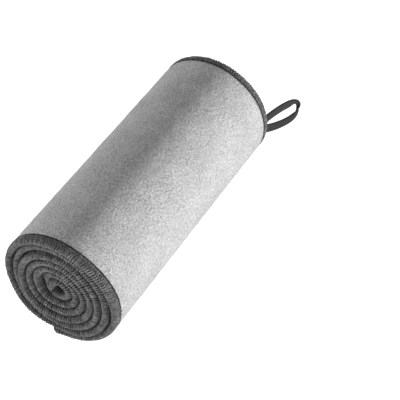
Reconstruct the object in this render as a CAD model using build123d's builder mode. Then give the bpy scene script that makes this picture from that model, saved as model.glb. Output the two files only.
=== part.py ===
from build123d import *
import math
import os

os.makedirs("parts", exist_ok=True)

# Quick dry towel, rolled up and lying on its side.
# Millimetres. +Z is up, the roll runs along Y: the open spiral end faces -Y and the
# end with the hanging loop faces +Y. The origin is on the floor under mid length.

# ---- driving dimensions ----
towel_width = 200.0          # along Y, edge to edge
cloth_thick = 4.9            # one layer of rolled plush
binding_thick = 4.4          # the bound edge, pressed flatter than the plush
layer_pitch = 5.6            # radius gained in one turn
edging_width = 6.3           # width of the edge binding seen on each face
seam_gap = 0.1               # drawn between the cloth and its bindings

core_radius = 4.24           # middle of the cloth at the inner hem
core_angle = 200.0           # where the inner hem sits, degrees from +X towards +Z
flat_angle = -80.0           # where the last layer meets the floor
full_turns = 6
facet_angle = 10.0           # the spiral is drawn in short straight steps
spiral_x = -1.8              # centre of the spiral
spiral_z = 43.0
floor_squash = 0.042         # how far the weight flattens the layers underneath
side_bulge = 0.045           # how far the lower left side sags outwards
hem_x = -8.5                 # outer hem, on the floor

thread_wide = 0.6            # needle thread along the binding
thread_thick = 0.2
thread_inset = 0.9           # from the inner boundary of the binding

tape_wide = 7.0              # hanging loop tape
tape_thick = 1.2
tape_gap = 0.4               # between the two ends sewn side by side
tail_inside = 5.5            # tape held inside the edge binding
tail_outside = 1.2           # tape standing clear of the edge before it bends
loop_reach = 30.8            # hinge line to the middle of the far bend
loop_half_width = 8.0        # middle of the tape at the widest point
loop_lean = 15.5             # degrees the loop leans outwards from the roll axis
loop_droop = 0.15            # fall per millimetre of reach
loop_tip_turn = 50.0         # degrees the tape turns out of plane at the far bend
loop_sections = 18
hinge_gap = 0.3

# ---- derived dimensions ----
half_width = towel_width / 2
turn_span = math.radians(core_angle + 360 * full_turns - flat_angle)
tail_span = 2 * tape_wide + tape_gap
hinge_y = half_width + tail_outside + hinge_gap + tape_thick / 2


def squash(phi):
    """Radius factor of the sagging roll at the angle phi in radians."""
    under = (math.degrees(phi) + 90 + 180) % 360 - 180
    side = (math.degrees(phi) + 140 + 180) % 360 - 180
    pressed = floor_squash * math.exp(-((under / 32) ** 2))
    bulged = side_bulge * math.exp(-((side / 26) ** 2))
    return 1 - pressed + bulged


def spiral_radius(turn):
    """Middle of the cloth after turning by the angle turn from the inner hem."""
    return core_radius + layer_pitch * turn / (2 * math.pi)


def middle(turn):
    """Point (x, z) on the middle of the cloth."""
    phi = math.radians(core_angle) - turn
    radius = spiral_radius(turn) * squash(phi)
    return spiral_x + radius * math.cos(phi), spiral_z + radius * math.sin(phi)


def offset_point(turn, offset):
    """Point at a distance offset outwards from the middle of the cloth."""
    step = 0.01
    before = middle(turn - step)
    after = middle(turn + step)
    run = math.hypot(after[0] - before[0], after[1] - before[1])
    along = ((after[0] - before[0]) / run, (after[1] - before[1]) / run)
    here = middle(turn)
    return here[0] - along[1] * offset, here[1] + along[0] * offset


def turn_after(length):
    """Angle turned after a length of cloth measured from the inner hem."""
    growth = layer_pitch / (4 * math.pi)
    root = math.sqrt(core_radius ** 2 + 4 * growth * length)
    return (root - core_radius) / (2 * growth)


def cloth_line(first_turn, last_turn, last_x, offset):
    """Spiral points, then the flat run on the floor when last_x is given."""
    facet = math.radians(facet_angle)
    first_step = math.floor(first_turn / facet + 0.1) + 1
    last_step = math.ceil(last_turn / facet - 0.1) - 1
    turns = [first_turn]
    turns += [facet * step for step in range(first_step, last_step + 1)]
    turns.append(last_turn)
    points = [offset_point(turn, offset) for turn in turns]
    if last_x is not None:
        floor_z = cloth_thick / 2 - offset
        points[-1] = (points[-1][0], floor_z)
        points.append((last_x, floor_z))
    return points


def draw_strip(first_turn, last_turn, last_x, inner_offset, outer_offset):
    """Closed outline of a length of rolled cloth in the current sketch."""
    inner = cloth_line(first_turn, last_turn, last_x, inner_offset)
    outer = cloth_line(first_turn, last_turn, last_x, outer_offset)
    with BuildLine(Plane.XY) as outline:
        Polyline(*inner, *reversed(outer), close=True)
    make_face(outline.edges())


def section_plane(y):
    """Plane across the roll at y, drawn with X to the right and Z up."""
    return Plane(origin=(0, y, 0), x_dir=(1, 0, 0), z_dir=(0, -1, 0))


half_cloth = cloth_thick / 2
half_binding = binding_thick / 2
edging_y = half_width - edging_width
cloth_y = edging_y - seam_gap
hem_turn = turn_after(edging_width)
cloth_turn = turn_after(edging_width + seam_gap)
hem_inner_x = hem_x + edging_width
cloth_x = hem_inner_x + seam_gap

# ---- the plush cloth, rolled from the inner hem to the flat run on the floor ----
with BuildPart() as towel_cloth:
    with BuildSketch(section_plane(-cloth_y)):
        draw_strip(cloth_turn, turn_span, cloth_x, -half_cloth, half_cloth)
    extrude(amount=-2 * cloth_y)

# ---- hanging loop ends, sewn side by side into the far edge ----
root_turn = turn_span - math.radians(-flat_angle)
root_x = middle(root_turn)[0]
root_z = middle(root_turn)[1] + 1.0

with BuildPart() as loop_tails:
    with Locations((root_x, half_width + (tail_outside - tail_inside) / 2, root_z)):
        Box(tape_thick, tail_inside + tail_outside, tail_span)

# ---- bindings along the two long edges ----
with BuildPart() as near_edge_binding:
    with BuildSketch(section_plane(-half_width)):
        draw_strip(0, turn_span, hem_x, -half_binding, half_binding)
    extrude(amount=-edging_width)

with BuildPart() as far_edge_binding:
    with BuildSketch(section_plane(edging_y)):
        draw_strip(0, turn_span, hem_x, -half_binding, half_binding)
    extrude(amount=-edging_width)
    add(loop_tails.part, mode=Mode.SUBTRACT)

# ---- bindings along the two short hems, between the long ones ----
with BuildPart() as outer_hem_binding:
    with Locations(((hem_x + hem_inner_x) / 2, 0, half_cloth)):
        Box(edging_width, 2 * cloth_y, binding_thick)

with BuildPart() as inner_hem_binding:
    with BuildSketch(section_plane(-cloth_y)):
        draw_strip(0, hem_turn, None, -half_binding, half_binding)
    extrude(amount=-2 * cloth_y)

# ---- needle threads, one row on the outer face of each long binding and the hem ----
thread_low = half_binding + 0.02
thread_top = thread_low + thread_thick
thread_y = edging_y + thread_inset
thread_start = math.radians(9 * facet_angle)
thread_end = turn_span - math.radians(2 * facet_angle)
thread_x = hem_inner_x - thread_inset - thread_wide / 2
thread_z = half_cloth - thread_low - thread_thick / 2

with BuildPart() as near_edge_stitching:
    with BuildSketch(section_plane(-thread_y - thread_wide)):
        draw_strip(thread_start, thread_end, None, thread_low, thread_top)
    extrude(amount=-thread_wide)

with BuildPart() as far_edge_stitching:
    with BuildSketch(section_plane(thread_y)):
        draw_strip(thread_start, thread_end, None, thread_low, thread_top)
    extrude(amount=-thread_wide)

with BuildPart() as outer_hem_stitching:
    with Locations((thread_x, 0, thread_z)):
        Box(thread_wide, 2 * cloth_y, thread_thick)


# ---- hanging loop, from the hinge line outwards ----
def loop_station(place):
    """Reach, side and tape turn along the loop for place from 0 to 1."""
    swing = math.pi * place
    reach = loop_reach * math.sin(swing) ** 0.9 if 0 < place < 1 else 0.0
    side_root = (tape_wide + tape_gap) / 2
    belly = (loop_half_width - side_root) * math.sin(2 * swing) ** 2
    side = math.cos(swing) * (side_root + 1.75 * belly)
    turn = math.radians(loop_tip_turn) * math.sin(swing) ** 3
    return reach, side, turn


out_dir = Vector(math.sin(math.radians(loop_lean)), math.cos(math.radians(loop_lean)), 0)
face_dir = Vector(math.cos(math.radians(loop_lean)), -math.sin(math.radians(loop_lean)), 0)
up_dir = Vector(0, 0, 1)
hinge_point = Vector(root_x, hinge_y, root_z)


def loop_point(place):
    """Middle of the tape in space."""
    reach, side, turn = loop_station(place)
    return hinge_point + out_dir * reach + up_dir * (side - loop_droop * reach)


def loop_plane(place):
    """Cross-section plane of the tape: x across its width, z along it."""
    step = 0.004
    start = loop_point(max(place - step, 0))
    end = loop_point(min(place + step, 1))
    along = (end - start).normalized()
    if place in (0, 1):
        along = out_dir if place == 0 else out_dir * -1
    across = face_dir.cross(along) * -1
    turn = loop_station(place)[2]
    wide_dir = across * math.cos(turn) - face_dir * math.sin(turn)
    return Plane(origin=loop_point(place), x_dir=wide_dir, z_dir=along)


with BuildPart() as hang_loop:
    for step in range(loop_sections + 1):
        with BuildSketch(loop_plane(step / loop_sections)):
            Rectangle(tape_wide, tape_thick)
    loft(ruled=True)
    with Locations(Location(hinge_point)):
        Cylinder(tape_thick / 2, tail_span)

# ---- export ----
sub_parts = {
    "towel_cloth": towel_cloth,
    "near_edge_binding": near_edge_binding,
    "far_edge_binding": far_edge_binding,
    "outer_hem_binding": outer_hem_binding,
    "inner_hem_binding": inner_hem_binding,
    "near_edge_stitching": near_edge_stitching,
    "far_edge_stitching": far_edge_stitching,
    "outer_hem_stitching": outer_hem_stitching,
    "loop_tails": loop_tails,
    "hang_loop": hang_loop,
}
for name, builder in sub_parts.items():
    builder.part.label = name
    export_step(builder.part, "parts/" + name + ".step")
    box = builder.part.bounding_box()
    size = tuple(round(value, 2) for value in (box.size.X, box.size.Y, box.size.Z))
    print(name, len(builder.part.solids()), round(builder.part.volume, 1), size)
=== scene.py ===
import bpy
import math
import numpy as np
from mathutils import Matrix, Vector


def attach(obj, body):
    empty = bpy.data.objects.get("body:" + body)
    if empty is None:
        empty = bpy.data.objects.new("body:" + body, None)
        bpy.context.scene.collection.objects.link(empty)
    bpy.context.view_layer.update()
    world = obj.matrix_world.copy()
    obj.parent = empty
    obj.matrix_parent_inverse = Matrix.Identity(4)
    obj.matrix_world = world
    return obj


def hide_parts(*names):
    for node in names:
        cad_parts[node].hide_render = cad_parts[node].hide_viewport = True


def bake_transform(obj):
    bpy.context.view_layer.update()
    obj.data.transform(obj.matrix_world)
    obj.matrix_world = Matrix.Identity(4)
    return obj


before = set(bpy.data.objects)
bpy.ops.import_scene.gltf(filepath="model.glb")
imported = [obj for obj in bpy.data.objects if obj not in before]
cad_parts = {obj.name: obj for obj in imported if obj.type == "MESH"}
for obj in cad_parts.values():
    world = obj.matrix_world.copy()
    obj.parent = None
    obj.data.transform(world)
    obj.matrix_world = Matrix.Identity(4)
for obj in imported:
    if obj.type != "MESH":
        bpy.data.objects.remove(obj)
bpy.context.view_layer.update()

# Lengths are in millimetres up to make_object, which turns them into metres.
MM = 0.001

# ---- the cloth and its roll, as in the solid model ----
HALF_WIDTH = 100.0           # half the towel's width, along Y
PLUSH = 2.45                 # half the plush cloth's thickness
PITCH = 5.6                  # radius gained in one turn
CORE_RADIUS = 4.24           # middle of the cloth at the inner hem
CORE_ANGLE = math.radians(200.0)                    # where the inner hem sits
TURNS = math.radians(200.0 + 360.0 * 6 + 80.0)      # turned until the cloth meets the floor
CENTRE_X, CENTRE_Z = -1.8, 43.0
HEM_X = -8.5                 # outer hem, on the floor
FLOOR_SQUASH = 0.042         # how far the weight flattens the layers underneath
FLOOR_AT, FLOOR_SPREAD = -90, 32         # where it does, degrees
SIDE_BULGE = 0.045           # how far the lower left side sags outwards
SIDE_AT, SIDE_SPREAD = -140, 26          # where it does, degrees
EDGING = 6.3                 # width of the edging on each face

# ---- where the roll is less even than in the solid model ----
LOOSE_PLACES = ((2.7, 2122, 24), (-0.9, 385, 38), (0.6, 745, 45))    # outwards, degrees turned, spread
RIPPLES = ((0.14, 2.3, 1.1), (0.10, 3.7, 0), (0.07, 7.1, 2))         # height, per radian, phase
RIPPLE_FADE = 0.8            # angle over which they fade at both hems
SPIRAL_END = TURNS - math.radians(9)     # from here the cloth eases down to the floor
FLAT_START = 5.0             # x at which the last layer lies flat on the floor
FLAT_TURN = 0.02             # angle counted for each step of the flat run
LINE_STEP = 0.25             # between points of the rolled line
CORNER = 5.5                 # radius of the two corners at the outer hem
FAR_RIM = 1.9                # how far the outermost layer stands out at the far end
FAR_INSIDE = -2.6            # added for the layers inside it, which are set back

# how far the open end is set back (+) or stands out (-): degrees turned, millimetres
NEAR_SHIFTS = [(0, -0.8), (110, 0), (290, 0.6), (380, 2.8), (470, 0.2), (560, 0), (650, -0.6),
               (740, -1.0), (830, -0.6), (920, -0.3), (1010, -2.8), (1100, -1.2), (1190, -0.8),
               (1280, -1.2), (1370, -4.2), (1460, -2.8), (1550, -0.4), (1640, -1.2), (1725, -4.6),
               (1770, -0.8), (1820, 0.3), (1910, 1.0), (2000, -0.5), (2045, -3.2), (2090, -3.6),
               (2122, -1.2), (2150, -0.8), (2180, -0.5), (2270, -0.2), (2360, 0.2), (2400, -1.0),
               (2440, -2.8), (2475, -3.8)]

# ---- plush cloth ----
CLOTH_FINE_FROM = 700        # the mesh is finer from this length on, where the cloth is seen
CLOTH_STEP, CLOTH_FINE_STEP = 2.2, 1.6
CLOTH_COLUMNS = 78           # points across the width between the two long edgings
CLOTH_SEEN = 0.0285          # fraction of the width at which the first of them lies
FLOOR_RUN, FLOOR_EASE = 26, 10           # length of cloth that lies smooth on the floor
CLOTH_INSET = 1.6            # the cloth ends this far inside the two long edges
HEM_INSET = 1.5              # and this far inside the two short hems
TUCKED = 1.45                # half its thickness inside the edging
TUCK_END = 0.0235            # fraction of the width that is inside the edging
TUCK_EASE = 0.010            # fraction over which it swells to its full thickness
HEM_TUCK, HEM_EASE = 5.6, 1.2            # the same at the short hems, millimetres
ROUGH_FROM = 1.4             # half thickness at which the pile has no waves
OUTER_TRIM = 0.02            # taken off the outer face

# ---- bound edges ----
BOUND = 2.48                 # half the bound edge's thickness, yarn included
YARN = 0.50                  # edging yarn's radius
YARN_FLAT = 1.28             # how much wider than high a wrap of yarn lies
BULGE = 3.3                  # how far the bound edge rounds out at the rim
RIM_POINTS = 25
RIM_ROUND = 0.9              # 1 is round, less is squarer
WRAP_PITCH = 1.72            # one overlock stitch to the next
WRAP_REACH = EDGING - 0.4    # depth at which the wraps end
WRAP_SLANT = 0.5 * WRAP_PITCH            # lean of a whole wrap along the edge
CHEVRON = 1.9                # width of one slanted row of yarn on the outer face
CHEVRON_LEAN = 0.7 * WRAP_PITCH          # lean within such a row
WRAP_RING = 6                # points round a wrap of yarn
WRAP_STEPS, HEM_WRAP_STEPS = 22, 13      # points along a wrap, on the long edges and on the hems
WRAP_JITTER = 0.15           # how unevenly the wraps are spaced
WRAP_SWELL = 0.13            # how much their thickness differs
WRAP_ENDS = 0.22             # how unevenly they end on the face
PLY_DEPTH = 0.24             # how much the twist of the plies shows
PLY_LENGTH = 2.6             # steps of a wrap in one turn of the plies
GROUND_SINK = 0.1            # the ground lies this much deeper than the yarn
GROUND_STEP = 2.0
LOOPER = 0.28                # looper yarn's radius
LOOPER_STEPS = 60            # places on the way over the rim that a looper yarn can take
LOOPER_STEP = 0.36           # between its points along the edge
LOOPER_LIFT, LOOPER_DIP = 0.22, 0.16     # height of its middle over the wraps, and up and down
THREAD_RING = 5              # points round a looper yarn or a thread
THREAD_STEP, HEM_THREAD_STEP = 0.48, 0.6
THREAD_HIGH, THREAD_WIDE = 0.20, 0.55    # half the needle thread's thickness and width
HEM_THREAD_HIGH, HEM_THREAD_WIDE = 0.12, 0.26
THREAD_DIP, HEM_THREAD_DIP = 0.16, 0.12  # how far it dips at every stitch

# ---- hanging loop ----
HINGE_Y = 102.1
ROOT_X, ROOT_Z = 39.15, 41.0
TAIL_Y = 95.2                # the tape's ends, inside the edging
TAIL_POINTS = 9
TAPE_WIDE, TAPE_THICK, TAPE_GAP = 7.0, 1.6, 0.4
TAPE_ROUND = 0.28            # 1 is round, less is squarer
TAPE_RING = 20               # points round the tape
TAPE_POINTS = 170            # and along it
LOOP_REACH, LOOP_DROOP = 33.6, 0.18
LOOP_OPEN, LOOP_BELLY = 0.6, 7.0         # how far its two strands bow apart
LOOP_LEAN = math.radians(15.5)
LOOP_POINTS = 241
TWIST_PLACE, TWIST_SPREAD = 0.43, 0.105  # of the half twist, as fractions of the loop

rng = np.random.default_rng(7)


# ---- small helpers ----
def bump(values, middle, spread):
    return np.exp(-(((values - middle) / spread) ** 2))


def bell(spread, reach):
    """Weights of a bell-shaped running average over reach points to each side."""
    weight = bump(np.arange(-reach, reach + 1), 0, spread)
    return weight / weight.sum()


def squared(values, power):
    """Sines or cosines drawn towards 1 and -1: a power of 1 is round, less is squarer."""
    return np.sign(values) * np.abs(values) ** power


def circle(points):
    """Cosine and sine of evenly spaced angles round a circle."""
    angle = 2 * math.pi * np.arange(points) / points
    return np.cos(angle), np.sin(angle)


def run_along(*axes):
    """Length from the first point of a line to each of its points."""
    steps = np.sqrt(sum(np.diff(axis) ** 2 for axis in axes))
    return np.concatenate([[0], np.cumsum(steps)])


def waves(a, b, count, low, high, seed):
    """Smooth irregular noise made of plain sine waves between low and high millimetres long."""
    random = np.random.default_rng(seed)
    total = np.zeros(np.broadcast(a, b).shape)
    for _ in range(count):
        k = 2 * math.pi / random.uniform(low, high)
        angle = random.uniform(0, 2 * math.pi)
        total += np.sin(k * (math.cos(angle) * a + math.sin(angle) * b) + random.uniform(0, 7))
    return total / math.sqrt(count)


# ---- the line the rolled cloth follows, seen from its open end ----
def degrees_from(phi, direction):
    """Angle phi in radians as degrees from a direction, between -180 and 180."""
    return (np.degrees(phi) - direction + 180) % 360 - 180


def squash(phi):
    """Radius factor of the sagging roll at the angle phi in radians."""
    pressed = FLOOR_SQUASH * bump(degrees_from(phi, FLOOR_AT), 0, FLOOR_SPREAD)
    sagging = SIDE_BULGE * bump(degrees_from(phi, SIDE_AT), 0, SIDE_SPREAD)
    return 1 - pressed + sagging


def looseness(turn):
    """How far outside the plain spiral the cloth lies after turning by the angle turn."""
    ripple = sum(height * np.sin(rate * turn + phase) for height, rate, phase in RIPPLES)
    fade = np.clip((TURNS - turn) / RIPPLE_FADE, 0, 1) * np.clip(turn / RIPPLE_FADE, 0, 1)
    gaps = sum(outwards * bump(np.degrees(turn), middle, spread)
               for outwards, middle, spread in LOOSE_PLACES)
    return ripple * fade + gaps


def smoothed(values):
    """Running average of a line, carried straight on past both of its ends."""
    reach = 10
    before = 2 * values[0] - values[reach:0:-1]
    after = 2 * values[-1] - values[-2:-reach - 2:-1]
    return np.convolve(np.concatenate([before, values, after]), bell(5.0, reach), mode="valid")


def rolled_line():
    """Middle of the cloth as (length, x, z, angle turned), from the inner hem outwards."""
    turn = np.arange(0, SPIRAL_END, math.radians(0.5))
    phi = CORE_ANGLE - turn
    radius = (CORE_RADIUS + PITCH * turn / (2 * math.pi)) * squash(phi) + looseness(turn)
    flat = np.arange(FLAT_START, HEM_X - 0.2, -0.4)
    x = np.concatenate([CENTRE_X + radius * np.cos(phi), flat])
    z = np.concatenate([CENTRE_Z + radius * np.sin(phi), np.full(len(flat), PLUSH)])
    turn = np.concatenate([turn, turn[-1] + FLAT_TURN * np.arange(1, len(flat) + 1)])
    run = run_along(x, z)
    even = np.arange(0, run[-1], LINE_STEP)
    x = smoothed(np.interp(even, run, x))
    z = np.maximum(smoothed(np.interp(even, run, z)), PLUSH)
    return even, x, z, np.interp(even, run, turn)


RUN, LINE_X, LINE_Z, LINE_TURN = rolled_line()
LENGTH = RUN[-1]
TAN_X, TAN_Z = np.gradient(LINE_X, RUN), np.gradient(LINE_Z, RUN)
TAN_SIZE = np.hypot(TAN_X, TAN_Z)
TAN_X, TAN_Z = TAN_X / TAN_SIZE, TAN_Z / TAN_SIZE


def place(s, n, y):
    """Point in space: s along the cloth, n outwards from its middle, y along the roll."""
    past = np.clip(s - LENGTH, 0, None) + np.clip(s, None, 0)
    tx, tz = np.interp(s, RUN, TAN_X), np.interp(s, RUN, TAN_Z)
    x = np.interp(s, RUN, LINE_X) + tx * past
    z = np.interp(s, RUN, LINE_Z) + tz * past
    return np.stack([x - tz * n, y, z + tx * n], axis=-1)


# ---- the two long edges, which are not quite straight ----
def degrees_turned(s):
    return np.degrees(np.interp(s, RUN, LINE_TURN))


def corner(s):
    """How far the rounded corners at the outer hem are cut back."""
    into = np.clip((s - LENGTH + CORNER) / CORNER, 0, 0.97)
    return CORNER * (1 - np.sqrt(1 - into ** 2))


def near_shift(s):
    """Place of the open end at the length s, smoothed between the values of NEAR_SHIFTS."""
    d = degrees_turned(s)
    at_turn, shifts = np.array(NEAR_SHIFTS).T
    smooth = sum(np.interp(d + step, at_turn, shifts) for step in (-24, -12, 0, 12, 24)) / 5
    return smooth + 0.18 * np.sin(d / 37.0) + 0.12 * np.sin(d / 14.3 + 1) + corner(s)


def far_shift(s):
    """Place of the far end at the length s: all but the outermost layer are set back."""
    d = degrees_turned(s)
    inside = np.clip((2080 - d) / 200, 0, 1)
    return FAR_RIM + inside * (FAR_INSIDE + 1.0 * np.sin(d / 61.0) + 0.5 * np.sin(d / 23.0)) - corner(s)


def edge_place(s, n, depth, far):
    """Point in space at a depth in from the far end's edge, or from the open end's."""
    if far:
        return place(s, n, HALF_WIDTH - depth + far_shift(s))
    return place(s, n, -HALF_WIDTH + depth + near_shift(s))


# ---- meshes ----
def make_object(name, points, quads, material, caps):
    mesh = bpy.data.meshes.new(name)
    faces = [tuple(quad) for quad in quads.tolist()] + caps
    mesh.from_pydata((points.reshape(-1, 3) * MM).tolist(), [], faces)
    mesh.validate()
    mesh.polygons.foreach_set("use_smooth", [True] * len(mesh.polygons))
    mesh.materials.append(material)
    mesh.update()
    obj = bpy.data.objects.new(name, mesh)
    bpy.context.scene.collection.objects.link(obj)
    return obj


def tube_faces(rows, ring):
    """Quads for rows of closed rings, and the two end caps."""
    i, j = np.meshgrid(np.arange(rows - 1), np.arange(ring), indexing="ij")
    here = i * ring + j
    beside = i * ring + (j + 1) % ring
    quads = np.stack([here, beside, beside + ring, here + ring], axis=-1).reshape(-1, 4)
    first = tuple(range(ring - 1, -1, -1))
    last = tuple(range((rows - 1) * ring, rows * ring))
    return quads, [first, last]


def tube_object(name, points, material):
    """One tube closed at both ends; points is (rows, ring, 3)."""
    quads, caps = tube_faces(*points.shape[:2])
    return make_object(name, points, quads, material, caps)


def tubes_object(name, points, material):
    """Equal tubes, each closed at both ends, as one mesh; points is (tubes, rows, ring, 3)."""
    tubes, rows, ring = points.shape[:3]
    quads, caps = tube_faces(rows, ring)
    starts = np.arange(tubes) * rows * ring
    all_quads = (quads[None] + starts[:, None, None]).reshape(-1, 4)
    all_caps = [tuple(v + start for v in cap) for start in starts.tolist() for cap in caps]
    return make_object(name, points, all_quads, material, all_caps)


# ---- materials ----
def new_material(name):
    material = bpy.data.materials.new(name)
    material.use_nodes = True
    nodes, links = material.node_tree.nodes, material.node_tree.links
    return material, nodes, links, nodes["Principled BSDF"]


def set_inputs(node, values):
    """Set inputs of a node from a dictionary of their names and values."""
    for name, value in values.items():
        node.inputs[name].default_value = value


def noise_node(nodes, links, coords, scale, detail, rough):
    node = nodes.new("ShaderNodeTexNoise")
    set_inputs(node, {"Scale": scale, "Detail": detail, "Roughness": rough})
    links.new(coords, node.inputs["Vector"])
    return node.outputs["Fac"]


def wave_node(nodes, links, coords, direction, scale):
    node = nodes.new("ShaderNodeTexWave")
    node.bands_direction = direction
    set_inputs(node, {"Scale": scale})
    links.new(coords, node.inputs["Vector"])
    return node.outputs["Color"]


def grey_ramp(nodes, links, source, stops):
    """Colour ramp through greys; stops are (position, grey value)."""
    node = nodes.new("ShaderNodeValToRGB")
    while len(node.color_ramp.elements) < len(stops):
        node.color_ramp.elements.new(0.5)
    for element, (position, value) in zip(node.color_ramp.elements, stops):
        element.position = position
        element.color = (value, value, value, 1)
    links.new(source, node.inputs["Fac"])
    return node.outputs["Color"]


def mix_node(nodes, links, a, b, kind="MULTIPLY"):
    node = nodes.new("ShaderNodeMix")
    node.data_type = "RGBA"
    node.blend_type = kind
    set_inputs(node, {"Factor": 1.0})
    links.new(a, node.inputs["A"])
    links.new(b, node.inputs["B"])
    return node.outputs["Result"]


def bump_node(nodes, links, height, strength, distance, normal=None):
    node = nodes.new("ShaderNodeBump")
    set_inputs(node, {"Strength": strength, "Distance": distance})
    links.new(height, node.inputs["Height"])
    if normal is not None:
        links.new(normal, node.inputs["Normal"])
    return node.outputs["Normal"]


def plush_material():
    material, nodes, links, shader = new_material("plush")
    coords = nodes.new("ShaderNodeTexCoord").outputs["Object"]
    fine = noise_node(nodes, links, coords, 950, 2, 0.7)
    tufts = noise_node(nodes, links, coords, 420, 2, 0.6)
    broad = noise_node(nodes, links, coords, 48, 3, 0.6)
    colour = grey_ramp(nodes, links, fine, [(0.34, 0.44), (0.5, 0.67), (0.66, 0.90)])
    patch = grey_ramp(nodes, links, broad, [(0.34, 0.88), (0.66, 1.0)])
    tuft = grey_ramp(nodes, links, tufts, [(0.36, 0.93), (0.64, 1.0)])
    colour = mix_node(nodes, links, colour, patch)
    colour = mix_node(nodes, links, colour, tuft)
    links.new(colour, shader.inputs["Base Color"])
    set_inputs(shader, {"Roughness": 1.0, "Specular IOR Level": 0.05, "Sheen Weight": 0.08,
                        "Sheen Roughness": 0.45, "Sheen Tint": (1, 1, 1, 1)})
    normal = bump_node(nodes, links, tufts, 0.5, 0.0016)
    normal = bump_node(nodes, links, fine, 1.0, 0.0026, normal)
    links.new(normal, shader.inputs["Normal"])
    return material


def yarn_material(name, dark, light):
    material, nodes, links, shader = new_material(name)
    coords = nodes.new("ShaderNodeTexCoord").outputs["Object"]
    fibre = noise_node(nodes, links, coords, 1500, 4, 0.7)
    blotch = noise_node(nodes, links, coords, 300, 2, 0.5)
    colour = grey_ramp(nodes, links, fibre, [(0.3, dark), (0.7, light)])
    shade = grey_ramp(nodes, links, blotch, [(0.35, 0.65), (0.65, 1.25)])
    colour = mix_node(nodes, links, colour, shade)
    links.new(colour, shader.inputs["Base Color"])
    set_inputs(shader, {"Roughness": 0.9, "Specular IOR Level": 0.1, "Sheen Weight": 0.2,
                        "Sheen Roughness": 0.5})
    links.new(bump_node(nodes, links, fibre, 0.5, 0.0004), shader.inputs["Normal"])
    return material


def tape_material():
    material, nodes, links, shader = new_material("tape")
    coords = nodes.new("ShaderNodeUVMap").outputs["UV"]
    weft = wave_node(nodes, links, coords, "X", 0.5)
    warp = wave_node(nodes, links, coords, "Y", 0.36)
    weave = mix_node(nodes, links, weft, warp, "ADD")
    colour = grey_ramp(nodes, links, weave, [(0.1, 0.010), (0.9, 0.026)])
    links.new(colour, shader.inputs["Base Color"])
    set_inputs(shader, {"Roughness": 0.8, "Specular IOR Level": 0.15, "Sheen Weight": 0.05})
    links.new(bump_node(nodes, links, weave, 0.35, 0.0002), shader.inputs["Normal"])
    return material


def floor_material():
    """Almost white, with a little light of its own."""
    material, nodes, links, shader = new_material("floor")
    coords = nodes.new("ShaderNodeTexCoord").outputs["Object"]
    cloud = noise_node(nodes, links, coords, 3, 2, 0.5)
    colour = grey_ramp(nodes, links, cloud, [(0.3, 0.90), (0.7, 0.92)])
    links.new(colour, shader.inputs["Base Color"])
    links.new(colour, shader.inputs["Emission Color"])
    set_inputs(shader, {"Roughness": 0.9, "Emission Strength": 1.0})
    return material


PLUSH_MAT = plush_material()
EDGE_MAT = yarn_material("edging_yarn", 0.035, 0.28)
# the ground under the yarn is near black: painted shade for the dark gaps between the layers' edgings
GROUND_SHADE_MAT = yarn_material("edging_ground_painted_shade", 0.018, 0.040)
THREAD_MAT = yarn_material("thread", 0.012, 0.03)
TAPE_MAT = tape_material()


# ---- the plush cloth: one closed ribbon rolled along the line ----
def cloth_grid():
    """Lengths along the cloth and fractions of its width, from the open end to the far one."""
    inner = np.arange(HEM_INSET, CLOTH_FINE_FROM, CLOTH_STEP)
    outer = np.arange(CLOTH_FINE_FROM, LENGTH - HEM_INSET, CLOTH_FINE_STEP)
    s = np.concatenate([inner, outer, [LENGTH - HEM_INSET]])
    tuck = np.array([0.0, 0.008, 0.016, TUCK_END])
    seen = np.linspace(CLOTH_SEEN, 1 - CLOTH_SEEN, CLOTH_COLUMNS)
    return s, np.concatenate([tuck, seen, 1 - tuck[::-1]])


def cloth_half(s, across):
    """Half the cloth's thickness: tucked in all round, full everywhere else."""
    side = np.clip((np.minimum(across, 1 - across) - TUCK_END) / TUCK_EASE, 0, 1)
    hem = np.clip((np.minimum(s, LENGTH - s) - HEM_TUCK) / HEM_EASE, 0, 1)
    return TUCKED + (PLUSH - TUCKED) * np.sqrt(side)[None, :] * np.sqrt(hem)[:, None]


def plush_cloth():
    s, across = cloth_grid()
    near = -HALF_WIDTH + CLOTH_INSET + near_shift(s)
    far = HALF_WIDTH - CLOTH_INSET + far_shift(s)
    y = near[:, None] + (far - near)[:, None] * across[None, :]
    half = cloth_half(s, across)
    s = s[:, None] + 0 * y
    rough = 0.09 * waves(s, y, 12, 5, 14, 3) + 0.05 * waves(s, y, 8, 22, 60, 4)
    on_floor = np.clip((s - (LENGTH - FLOOR_RUN)) / FLOOR_EASE, 0, 1)
    rough = rough * (half - ROUGH_FROM) * (1 - on_floor)
    outer = place(s, half + rough - OUTER_TRIM, y)
    inner = place(s, -half - 0.5 * rough, y)
    return tube_object("plush_cloth", np.concatenate([outer, inner[:, ::-1]], axis=1), PLUSH_MAT)


# ---- overlock edging: every stitch is its own wrap of yarn over the cut edge ----
def rim_outline(half, bulge, reach):
    """Outline (n, depth) of the bound edge from the outer face round the rim to the inner one."""
    angle = np.linspace(0, math.pi, RIM_POINTS)
    n = half * squared(np.cos(angle), RIM_ROUND)
    depth = YARN + bulge * (1 - np.sin(angle) ** RIM_ROUND)
    return np.concatenate([[half], n, [-half]]), np.concatenate([[reach], depth, [reach]])


def ground_profile():
    """Closed outline (n, depth) of the pressed edge under the yarn."""
    n, depth = rim_outline(BOUND - YARN - GROUND_SINK, BULGE - 0.05, EDGING - 0.55)
    return np.append(n[::2], 0), np.append(depth[::2], EDGING - 0.9) + GROUND_SINK


def edge_profile(steps):
    """Wrap centre line (n, depth) and outward direction, from the outer face to the inner one."""
    n, depth = rim_outline(BOUND - YARN, BULGE, WRAP_REACH)
    run = run_along(n, depth)
    even = np.linspace(0, run[-1], steps)
    n, depth = np.interp(even, run, n), np.interp(even, run, depth)
    tn, td = np.gradient(n), np.gradient(depth)
    size = np.hypot(tn, td)
    return n, depth, -td / size, tn / size


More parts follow.
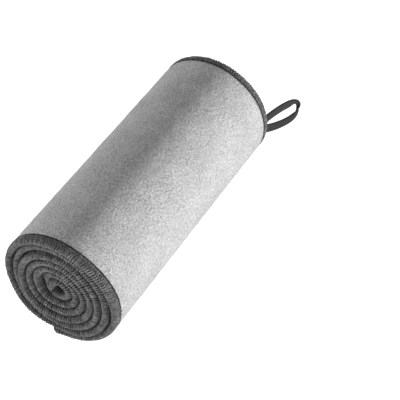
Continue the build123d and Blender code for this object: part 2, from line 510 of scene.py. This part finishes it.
def wrap_lean(n, depth):
    """How far a wrap leans along the edge: slanted as a whole, in chevrons on the outer face."""
    on_way = np.linspace(-0.5, 0.5, len(n))
    row = (WRAP_REACH - depth) / CHEVRON
    chevron = np.where(n > 0, np.abs(row % 2 - 1), 0.5)
    return WRAP_SLANT * on_way + CHEVRON_LEAN * (chevron - 0.5)


def wraps(positions, steps):
    """Rings of every wrap as (along, n, depth), each of shape (wraps, steps, ring)."""
    n, depth, out_n, out_d = edge_profile(steps)
    count = len(positions)
    jitter = rng.normal(0, WRAP_JITTER, (count, 1))
    swell = 1 + WRAP_SWELL * rng.normal(0, 1, (count, 1, 1))
    uneven = rng.normal(0, WRAP_ENDS, (count, 1)) * np.abs(np.linspace(-1, 1, steps)) ** 6
    ply_turn = 2 * math.pi * np.arange(steps) / PLY_LENGTH + rng.uniform(0, 6, (count, 1))
    taper = np.ones(steps)
    taper[[0, -1]] = 0.45
    taper[[1, -2]] = 0.9
    size = YARN * taper[:, None] * swell * (1 + PLY_DEPTH * np.cos(ply_turn))[:, :, None]
    cosine, sine = circle(WRAP_RING)
    along = (positions[:, None] + jitter + wrap_lean(n, depth))[:, :, None] + YARN_FLAT * size * cosine
    across = n[:, None] + out_n[:, None] * size * sine
    deep = (depth + uneven)[:, :, None] + out_d[:, None] * size * sine
    return along, across, deep


def edging(name, positions, steps, stations, to_space):
    """Wraps of yarn and the ground under them; to_space turns (along, n, depth) into points."""
    yarn = tubes_object(name, to_space(*wraps(positions, steps)), EDGE_MAT)
    n, depth = ground_profile()
    ground = to_space(*np.broadcast_arrays(stations[:, None], n, depth))
    # its near-black material is painted shade in the gaps between the rolled layers
    return yarn, tube_object(name + "_ground", ground, GROUND_SHADE_MAT)


def long_edge(name, far):
    """Edging of a long edge; the stitches follow the rolled cloth."""
    def to_space(s, n, depth):
        return edge_place(s, n, depth, far)

    positions = np.arange(0.9, LENGTH - 0.6, WRAP_PITCH)
    stations = np.arange(0.5, LENGTH - 0.3, GROUND_STEP)
    return edging(name, positions, WRAP_STEPS, stations, to_space)


def short_edge(name, outer):
    """Edging over a short hem; depth runs along the cloth and the stitches follow Y."""
    def to_space(y, n, depth):
        return place(LENGTH - depth if outer else depth, n, y)

    end = HALF_WIDTH - (CORNER - 0.5 if outer else 3.2)
    positions = np.arange(-end, end, WRAP_PITCH)
    stations = np.linspace(-end - 0.7, end + 0.7, 60)
    return edging(name, positions, HEM_WRAP_STEPS, stations, to_space)


def looper_row(row, low, high, far):
    """One looper yarn; low and high are fractions of the way over the rim that it swings between."""
    s = np.arange(2.0, LENGTH - 3.0, LOOPER_STEP)
    phase = math.pi * s / WRAP_PITCH + row * 1.3
    swing = 0.5 + 0.5 * np.sin(phase) * (0.9 + 0.1 * np.sin(s * 0.9 + row))
    spot = (low + (high - low) * swing) * (LOOPER_STEPS - 1)
    profile = edge_profile(LOOPER_STEPS)
    at_step = np.arange(LOOPER_STEPS)
    n, depth, out_n, out_d = (np.interp(spot, at_step, values)[:, None] for values in profile)
    cosine, sine = circle(THREAD_RING)
    lifted = (LOOPER_LIFT + LOOPER_DIP * np.cos(2 * phase))[:, None] + LOOPER * sine
    return edge_place(s[:, None] + LOOPER * cosine, n + out_n * lifted, depth + out_d * lifted, far)


def loopers(name, far):
    """Looper yarns that run along the edging in zigzags and lock the wraps together."""
    first = looper_row(0, 0.04, 0.13, far)
    second = looper_row(1, 0.17, 0.27, far)
    return tubes_object(name, np.stack([first, second]), EDGE_MAT)


def edge_thread(name, far):
    """Needle thread along the inner boundary of a long edging, dipping at every stitch."""
    s = np.arange(12.0, LENGTH - 16, THREAD_STEP)
    cosine, sine = circle(THREAD_RING)
    middle = BOUND - 0.34 + THREAD_DIP * np.cos(math.pi * s / WRAP_PITCH)
    n = middle[:, None] + THREAD_HIGH * sine
    depth = (EDGING + 0.15 + 0.06 * np.sin(s * 1.7))[:, None] + THREAD_WIDE * cosine
    return tube_object(name, edge_place(s[:, None] + 0 * n, n, depth, far), THREAD_MAT)


def hem_thread(name):
    """Needle thread along the outer hem's edging."""
    y = np.arange(-HALF_WIDTH + 6, HALF_WIDTH - 6, HEM_THREAD_STEP)
    cosine, sine = circle(THREAD_RING)
    middle = BOUND - 0.12 + HEM_THREAD_DIP * np.cos(math.pi * y / WRAP_PITCH)
    n = middle[:, None] + HEM_THREAD_HIGH * sine
    depth = EDGING - 0.75 + HEM_THREAD_WIDE * cosine + 0 * n
    return tube_object(name, place(LENGTH - depth, n, y[:, None] + 0 * n), THREAD_MAT)


# ---- hanging loop: flat woven tape, both ends sewn side by side into the far edge ----
def loop_line():
    """Middle line of the free loop and the tape's twist along it, from root to root."""
    out = np.array([math.sin(LOOP_LEAN), math.cos(LOOP_LEAN), 0])
    up = np.array([0, 0, 1.0])
    hinge = np.array([ROOT_X, HINGE_Y, ROOT_Z])
    u = np.linspace(0, 1, LOOP_POINTS)
    swing = math.pi * u
    reach = LOOP_REACH * np.sin(swing) ** 0.95
    bow = (TAPE_WIDE + TAPE_GAP) / 2 + LOOP_OPEN + LOOP_BELLY * np.sin(swing) ** 0.7
    side = squared(np.cos(swing), 0.6) * bow
    twist = -np.radians(90 * (1 + np.tanh((u - TWIST_PLACE) / TWIST_SPREAD)))
    return hinge + out * reach[:, None] + up * (side - LOOP_DROOP * reach)[:, None], twist


def tail_line(z):
    """Straight end of the tape from inside the edging out to the loop."""
    y = np.linspace(TAIL_Y, HINGE_Y - 0.3, TAIL_POINTS)
    return np.stack([np.full(TAIL_POINTS, ROOT_X), y, np.full(TAIL_POINTS, z)], axis=-1)


def tape_line():
    """Middle line and twist of the whole tape at even steps, smoothed where the pieces meet."""
    side_root = (TAPE_WIDE + TAPE_GAP) / 2
    middle, twist = loop_line()
    line = np.concatenate([tail_line(ROOT_Z + side_root), middle, tail_line(ROOT_Z - side_root)[::-1]])
    twist = np.pad(twist, TAIL_POINTS, mode="edge")
    run = run_along(*line.T)
    even = np.linspace(0, run[-1], TAPE_POINTS)
    line = np.stack([np.interp(even, run, axis) for axis in line.T], axis=-1)
    reach = 6
    for axis in range(3):
        line[reach:-reach, axis] = np.convolve(line[:, axis], bell(3.5, reach), mode="valid")
    return line, np.interp(even, run, twist)


def tape_uv(obj, line, width):
    """UV map in millimetres: along the tape and across it."""
    run = run_along(*line.T)
    index = np.zeros(len(obj.data.loops), int)
    obj.data.loops.foreach_get("vertex_index", index)
    coords = np.stack([run[index // TAPE_RING], width[index % TAPE_RING]], axis=-1)
    uv = obj.data.uv_layers.new(name="UVMap")
    uv.data.foreach_set("uv", coords.astype(np.float32).ravel())


def loop_tape():
    line, twist = tape_line()
    face = np.array([math.cos(LOOP_LEAN), -math.sin(LOOP_LEAN), 0])
    along = np.gradient(line, axis=0)
    along /= np.linalg.norm(along, axis=1)[:, None]
    across = np.cross(along, face)
    wide = across * np.cos(twist)[:, None] + face * np.sin(twist)[:, None]
    thick = np.cross(wide, along)
    cosine, sine = circle(TAPE_RING)
    width = squared(cosine, TAPE_ROUND) * TAPE_WIDE / 2
    height = squared(sine, 2 * TAPE_ROUND) * TAPE_THICK / 2
    points = line[:, None] + wide[:, None] * width[:, None] + thick[:, None] * height[:, None]
    obj = tube_object("hang_tape", points, TAPE_MAT)
    tape_uv(obj, line, width)
    return obj


cloth = plush_cloth()
near, near_ground = long_edge("near_edging", False)
far, far_ground = long_edge("far_edging", True)
hem, hem_ground = short_edge("outer_hem_edging", True)
core, core_ground = short_edge("inner_hem_edging", False)
near_loopers = loopers("near_loopers", False)
far_loopers = loopers("far_loopers", True)
near_thread = edge_thread("near_thread", False)
far_thread = edge_thread("far_thread", True)
outer_thread = hem_thread("outer_hem_thread")
tape = loop_tape()

edgings = [near, near_ground, far, far_ground, hem, hem_ground, core, core_ground,
           near_loopers, far_loopers]
threads = [near_thread, far_thread, outer_thread]
for obj in [cloth] + edgings + threads:
    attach(obj, "roll")
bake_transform(tape)
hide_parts("towel_cloth")
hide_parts("near_edge_binding")
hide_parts("far_edge_binding")
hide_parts("outer_hem_binding")
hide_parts("inner_hem_binding")
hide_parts("near_edge_stitching")
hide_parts("far_edge_stitching")
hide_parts("outer_hem_stitching")
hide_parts("hang_loop", "loop_tails")


# ---- floor, light and camera, in metres ----
FLOOR_HALF = 60.0
FLOOR_DROP = 0.0002          # keeps the floor just under the towel
WORLD_LIGHT = 0.45
MIDDLE = (0, 0, 0.04)        # of the roll
CAMERA_PLACE = (0.3414, -0.5163, 0.6866)
CAMERA_RIGHT = (0.86670, 0.49884, 0.0)
CAMERA_FORWARD = (-0.34328, 0.59643, -0.72555)
CAMERA_LENS = 119.4


def add_floor():
    r = FLOOR_HALF
    mesh = bpy.data.meshes.new("floor")
    mesh.from_pydata([(-r, -r, 0), (r, -r, 0), (r, r, 0), (-r, r, 0)], [], [(0, 1, 2, 3)])
    mesh.materials.append(floor_material())
    obj = bpy.data.objects.new("floor", mesh)
    bpy.context.scene.collection.objects.link(obj)
    obj.location = (0, 0, -FLOOR_DROP)


def add_area(name, where, target, wide, tall, power):
    """Soft oval light at where, shining towards target."""
    data = bpy.data.lights.new(name, "AREA")
    data.shape = "ELLIPSE"
    data.size = wide
    data.size_y = tall
    data.energy = power
    obj = bpy.data.objects.new(name, data)
    bpy.context.scene.collection.objects.link(obj)
    obj.location = where
    obj.rotation_euler = (Vector(target) - Vector(where)).to_track_quat("-Z", "Y").to_euler()


def add_world():
    """Even white light from all round."""
    world = bpy.data.worlds.new("studio")
    bpy.context.scene.world = world
    world.use_nodes = True
    set_inputs(world.node_tree.nodes["Background"], {"Color": (1, 1, 1, 1), "Strength": WORLD_LIGHT})


def add_camera():
    data = bpy.data.cameras.new("camera")
    data.sensor_width = 36
    data.lens = CAMERA_LENS
    data.clip_start = 0.05
    data.clip_end = 50
    camera = bpy.data.objects.new("camera", data)
    bpy.context.scene.collection.objects.link(camera)
    right = Vector(CAMERA_RIGHT).normalized()
    forward = Vector(CAMERA_FORWARD).normalized()
    lift = right.cross(forward).normalized()
    turned = Matrix((right, lift, -forward)).transposed().to_4x4()
    camera.matrix_world = Matrix.Translation(CAMERA_PLACE) @ turned
    bpy.context.scene.camera = camera


add_floor()
add_area("key", (0.75, 0.05, 0.003), (0.75, 0.05, 1.0), 1.0, 1.0, 40)
add_area("fill", (-1.4, -0.55, 0.16), MIDDLE, 0.8, 0.3, 7)
add_area("front", (-0.55, -1.4, 0.28), MIDDLE, 0.35, 0.35, 3)
add_world()
add_camera()
bpy.context.scene.view_settings.view_transform = "Standard"
bpy.context.scene.view_settings.exposure = 0.0
